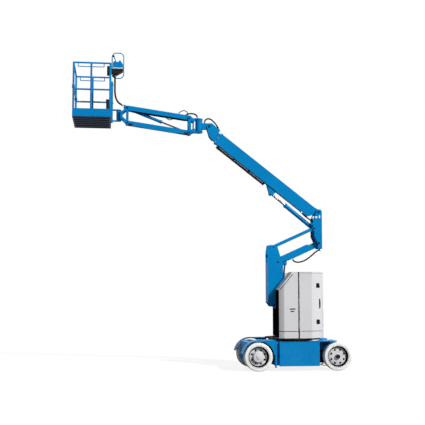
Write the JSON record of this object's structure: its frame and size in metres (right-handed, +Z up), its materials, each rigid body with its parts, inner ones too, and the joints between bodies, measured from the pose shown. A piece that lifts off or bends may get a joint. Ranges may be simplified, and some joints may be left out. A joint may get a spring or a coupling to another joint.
{
  "type": "articulating boom lift",
  "caption": "Self-propelled articulating boom lift: wheeled chassis, slewing turntable, folding riser, telescopic boom, jib and guarded work platform.",
  "frame": {"origin": "middle of the whole machine's length and width, on the ground under the tyres", "axes": "+X toward the steered end, -X toward the platform, +Y to the side away from the camera, +Z up"},
  "size_m": [5.5864, 1.19, 6.4653],
  "materials": {
    "frame_blue": "gloss",
    "cover_grey": "gloss",
    "rim_grey": "satin",
    "tyre_white": "matte",
    "rod_steel": "polished",
    "black_steel": "satin",
    "black_iron": "matte",
    "track_black": "matte",
    "floor_black": "matte",
    "floor_edge": "satin",
    "hose_black": "matte"
  },
  "bodies": {
    "chassis": {"chassis_frame": "frame_blue", "side_panels": "frame_blue", "fenders": "frame_blue", "drive_axle": "black_steel", "steer_axle": "black_steel", "slew_ring": "black_steel"},
    "knuckle_near": {"knuckle_near": "black_steel"},
    "knuckle_far": {"knuckle_far": "black_steel"},
    "tie_rod": {"tie_rod": "black_steel"},
    "wheel_drive_near": {"tyre_drive_near": "tyre_white", "rim_drive_near": "rim_grey"},
    "wheel_drive_far": {"tyre_drive_far": "tyre_white", "rim_drive_far": "rim_grey"},
    "wheel_steer_near": {"tyre_steer_near": "tyre_white", "rim_steer_near": "rim_grey"},
    "wheel_steer_far": {"tyre_steer_far": "tyre_white", "rim_steer_far": "rim_grey"},
    "turntable": {"turntable_frame": "black_steel", "cover_near": "cover_grey", "cover_far": "cover_grey", "counterweight": "black_iron", "power_unit": "black_iron"},
    "door_near": {"door_near": "cover_grey"},
    "door_far": {"door_far": "cover_grey"},
    "lower_arm": {"lower_arm": "frame_blue"},
    "lower_link": {"lower_link": "frame_blue"},
    "mid_pivot": {"mid_pivot": "frame_blue"},
    "upper_arm": {"upper_arm": "frame_blue", "riser_hose": "hose_black"},
    "upper_link": {"upper_link": "frame_blue"},
    "upper_pivot": {"upper_pivot": "frame_blue", "boom_hose": "hose_black"},
    "riser_barrel": {"riser_barrel": "black_steel"},
    "riser_rod": {"riser_rod": "rod_steel"},
    "boom": {"boom_tube": "frame_blue", "hose_track": "track_black"},
    "extension": {"boom_extension": "frame_blue", "head_hose": "hose_black"},
    "boom_barrel": {"boom_barrel": "black_steel"},
    "boom_rod": {"boom_rod": "rod_steel"},
    "jib_base": {"jib_base": "frame_blue"},
    "jib_rotator": {"jib_rotator": "frame_blue"},
    "jib_upper": {"jib_upper_beam": "frame_blue", "jib_hose": "hose_black"},
    "jib_lower": {"jib_lower_beam": "frame_blue"},
    "jib_end": {"jib_end_bracket": "frame_blue"},
    "jib_barrel": {"jib_barrel": "black_steel"},
    "jib_rod": {"jib_rod": "rod_steel"},
    "platform": {"platform_mount": "frame_blue", "platform_floor": "floor_black", "floor_bearers": "floor_edge", "platform_rails": "frame_blue", "control_box": "frame_blue", "control_cable": "hose_black"},
    "entry_rail": {"entry_rail": "frame_blue"}
  },
  "joints": [
    {"name": "steer", "type": "hinge", "parent": "chassis", "child": "knuckle_near", "pos_m": [2.50815, -0.385, 0.28], "axis": [0, 0, 1], "range_deg": [-40, 40]},
    {"name": "steer_far", "type": "hinge", "parent": "chassis", "child": "knuckle_far", "pos_m": [2.50815, 0.385, 0.28], "axis": [0, 0, 1], "range_deg": [-40, 40]},
    {"name": "tie_rod_slide", "type": "slide", "parent": "chassis", "child": "tie_rod", "axis": [0, 1, 0], "range_m": [-0.0845, 0.0845]},
    {"name": "spin_drive_near", "type": "hinge", "parent": "chassis", "child": "wheel_drive_near", "pos_m": [0.90815, -0.506, 0.28], "axis": [0, 1, 0], "continuous": true},
    {"name": "spin_drive_far", "type": "hinge", "parent": "chassis", "child": "wheel_drive_far", "pos_m": [0.90815, 0.506, 0.28], "axis": [0, 1, 0], "continuous": true},
    {"name": "spin_steer_near", "type": "hinge", "parent": "knuckle_near", "child": "wheel_steer_near", "pos_m": [2.50815, -0.506, 0.28], "axis": [0, 1, 0], "continuous": true},
    {"name": "spin_steer_far", "type": "hinge", "parent": "knuckle_far", "child": "wheel_steer_far", "pos_m": [2.50815, 0.506, 0.28], "axis": [0, 1, 0], "continuous": true},
    {"name": "slew", "type": "hinge", "parent": "chassis", "child": "turntable", "pos_m": [1.70815, 0, 0.6], "axis": [0, 0, 1], "range_deg": [-177.5, 177.5]},
    {"name": "door_near_swing", "type": "hinge", "parent": "turntable", "child": "door_near", "pos_m": [1.73815, -0.572, 1.35], "axis": [0, 0, -1], "range_deg": [0, 110]},
    {"name": "door_far_swing", "type": "hinge", "parent": "turntable", "child": "door_far", "pos_m": [1.73815, 0.572, 1.35], "axis": [0, 0, 1], "range_deg": [0, 110]},
    {"name": "riser_lift", "type": "hinge", "parent": "turntable", "child": "lower_arm", "pos_m": [2.16715, 0, 0.897], "axis": [0, 1, 0], "range_deg": [-41.5, 47.5], "deforming": ["riser_hose"]},
    {"name": "lower_link_swing", "type": "hinge", "parent": "turntable", "child": "lower_link", "pos_m": [2.26715, 0, 1.087], "axis": [0, 1, 0], "range_deg": [-43, 49]},
    {"name": "mid_level", "type": "hinge", "parent": "lower_arm", "child": "mid_pivot", "pos_m": [1.30178, 0, 1.29137], "axis": [0, 1, 0], "range_deg": [-49, 43]},
    {"name": "upper_arm_swing", "type": "hinge", "parent": "mid_pivot", "child": "upper_arm", "pos_m": [1.39918, 0, 2.16697], "axis": [0, 1, 0], "range_deg": [-49, 43]},
    {"name": "upper_link_swing", "type": "hinge", "parent": "mid_pivot", "child": "upper_link", "pos_m": [1.30218, 0, 2.46997], "axis": [0, 1, 0], "range_deg": [-49, 43]},
    {"name": "upper_level", "type": "hinge", "parent": "upper_arm", "child": "upper_pivot", "pos_m": [2.26455, 0, 2.56135], "axis": [0, 1, 0], "range_deg": [-43, 49], "deforming": ["riser_hose"]},
    {"name": "riser_barrel_swing", "type": "hinge", "parent": "lower_arm", "child": "riser_barrel", "pos_m": [1.48377, 0, 1.20843], "axis": [0, 1, 0], "range_deg": [-45, 40]},
    {"name": "riser_rod_slide", "type": "slide", "parent": "riser_barrel", "child": "riser_rod", "axis": [0.0861, 0, 0.9963], "range_m": [-0.25, 0.28]},
    {"name": "boom_lift", "type": "hinge", "parent": "upper_pivot", "child": "boom", "pos_m": [2.26115, 0, 3.20195], "axis": [0, 1, 0], "range_deg": [-38, 22], "deforming": ["boom_hose", "head_hose"]},
    {"name": "boom_barrel_swing", "type": "hinge", "parent": "upper_pivot", "child": "boom_barrel", "pos_m": [2.16755, 0, 2.86435], "axis": [0, 1, 0], "range_deg": [-36, 21]},
    {"name": "boom_rod_slide", "type": "slide", "parent": "boom_barrel", "child": "boom_rod", "axis": [-0.7771, 0, 0.6294], "range_m": [-0.225, 0.135]},
    {"name": "boom_extend", "type": "slide", "parent": "boom", "child": "extension", "axis": [-0.7902, 0, 0.6129], "range_m": [0, 0.9]},
    {"name": "jib_level", "type": "hinge", "parent": "extension", "child": "jib_base", "pos_m": [-0.00817, 0, 4.96222], "axis": [0, 1, 0], "range_deg": [-23.5, 40], "deforming": ["head_hose"]},
    {"name": "jib_rotate", "type": "hinge", "parent": "jib_base", "child": "jib_rotator", "pos_m": [-0.22318, 0, 4.96222], "axis": [0, 0, 1], "range_deg": [-90, 90]},
    {"name": "jib_lift", "type": "hinge", "parent": "jib_rotator", "child": "jib_lower", "pos_m": [-0.42318, 0, 4.81722], "axis": [0, 1, 0], "range_deg": [-73, 54], "deforming": ["jib_hose"]},
    {"name": "jib_upper_swing", "type": "hinge", "parent": "jib_rotator", "child": "jib_upper", "pos_m": [-0.42318, 0, 5.12222], "axis": [0, 1, 0], "range_deg": [-75, 56], "deforming": ["jib_hose"]},
    {"name": "jib_end_level", "type": "hinge", "parent": "jib_upper", "child": "jib_end", "pos_m": [-1.69765, 0, 5.30133], "axis": [0, 1, 0], "range_deg": [-56, 75]},
    {"name": "jib_barrel_swing", "type": "hinge", "parent": "jib_upper", "child": "jib_barrel", "pos_m": [-1.69765, 0, 5.30133], "axis": [0, 1, 0], "range_deg": [-5, 5]},
    {"name": "jib_rod_slide", "type": "slide", "parent": "jib_barrel", "child": "jib_rod", "axis": [0.9348, 0, -0.3551], "range_m": [-0.32, 0.235]},
    {"name": "platform_rotate", "type": "hinge", "parent": "jib_end", "child": "platform", "pos_m": [-1.87315, 0, 5.14133], "axis": [0, 0, -1], "range_deg": [-90, 90], "deforming": ["control_cable"]},
    {"name": "entry_rail_lift", "type": "slide", "parent": "platform", "child": "entry_rail", "axis": [0, 0, 1], "range_m": [0, 0.4]}
  ],
  "couplings": [
    {"joint": "steer_far", "follows": "steer", "ratio": 1},
    {"joint": "tie_rod_slide", "follows": "steer", "m_per_rad": 0.12},
    {"joint": "lower_link_swing", "follows": "riser_lift", "ratio": 1},
    {"joint": "mid_level", "follows": "riser_lift", "ratio": -1},
    {"joint": "upper_arm_swing", "follows": "riser_lift", "ratio": -1},
    {"joint": "upper_link_swing", "follows": "riser_lift", "ratio": -1},
    {"joint": "upper_level", "follows": "riser_lift", "ratio": 1},
    {"joint": "riser_barrel_swing", "follows": "riser_lift", "ratio": -0.915},
    {"joint": "riser_rod_slide", "follows": "riser_lift", "m_per_rad": 0.32},
    {"joint": "boom_barrel_swing", "follows": "boom_lift", "ratio": 0.9},
    {"joint": "boom_rod_slide", "follows": "boom_lift", "m_per_rad": 0.33},
    {"joint": "jib_level", "follows": "boom_lift", "ratio": -1},
    {"joint": "jib_upper_swing", "follows": "jib_lift", "ratio": 1},
    {"joint": "jib_end_level", "follows": "jib_lift", "ratio": -1},
    {"joint": "jib_barrel_swing", "follows": "jib_lift", "ratio": -0.05},
    {"joint": "jib_rod_slide", "follows": "jib_lift", "m_per_rad": 0.24}
  ]
}
